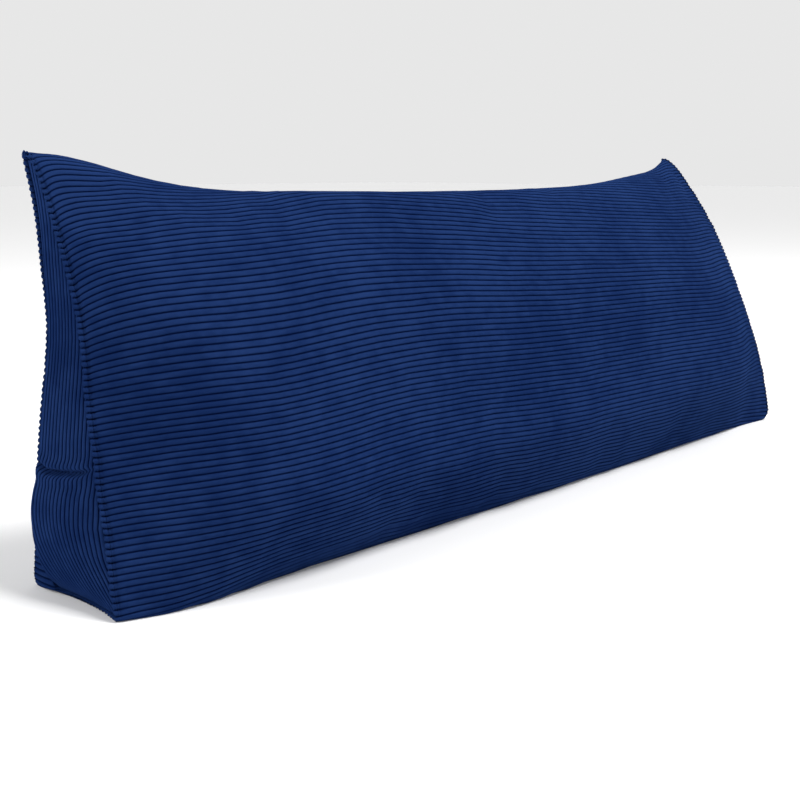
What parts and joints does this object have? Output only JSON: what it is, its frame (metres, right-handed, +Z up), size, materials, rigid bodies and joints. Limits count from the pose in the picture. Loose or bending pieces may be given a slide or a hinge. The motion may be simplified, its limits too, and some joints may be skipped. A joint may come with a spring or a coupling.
{
  "type": "backrest pillow",
  "caption": "Long triangular wedge backrest pillow in wide-wale corduroy that stands on a flat base, with a crowned leaning front and upright back.",
  "frame": {"origin": "middle of the flat base, on the surface it rests on", "axes": "+X along the length, to the right of someone who looks at the front; -Y out of the leaning front; +Z up"},
  "size_m": [1.5236, 0.315, 0.5066],
  "materials": {
    "corduroy_wrap": "navy wide-wale corduroy, soft velvety pile, wales along the length",
    "corduroy_end": "navy wide-wale corduroy, soft velvety pile, wales upright"
  },
  "bodies": {
    "root": {"filled_body": "corduroy_wrap", "end_panel_left": "corduroy_end", "end_panel_right": "corduroy_end"}
  },
  "joints": []
}
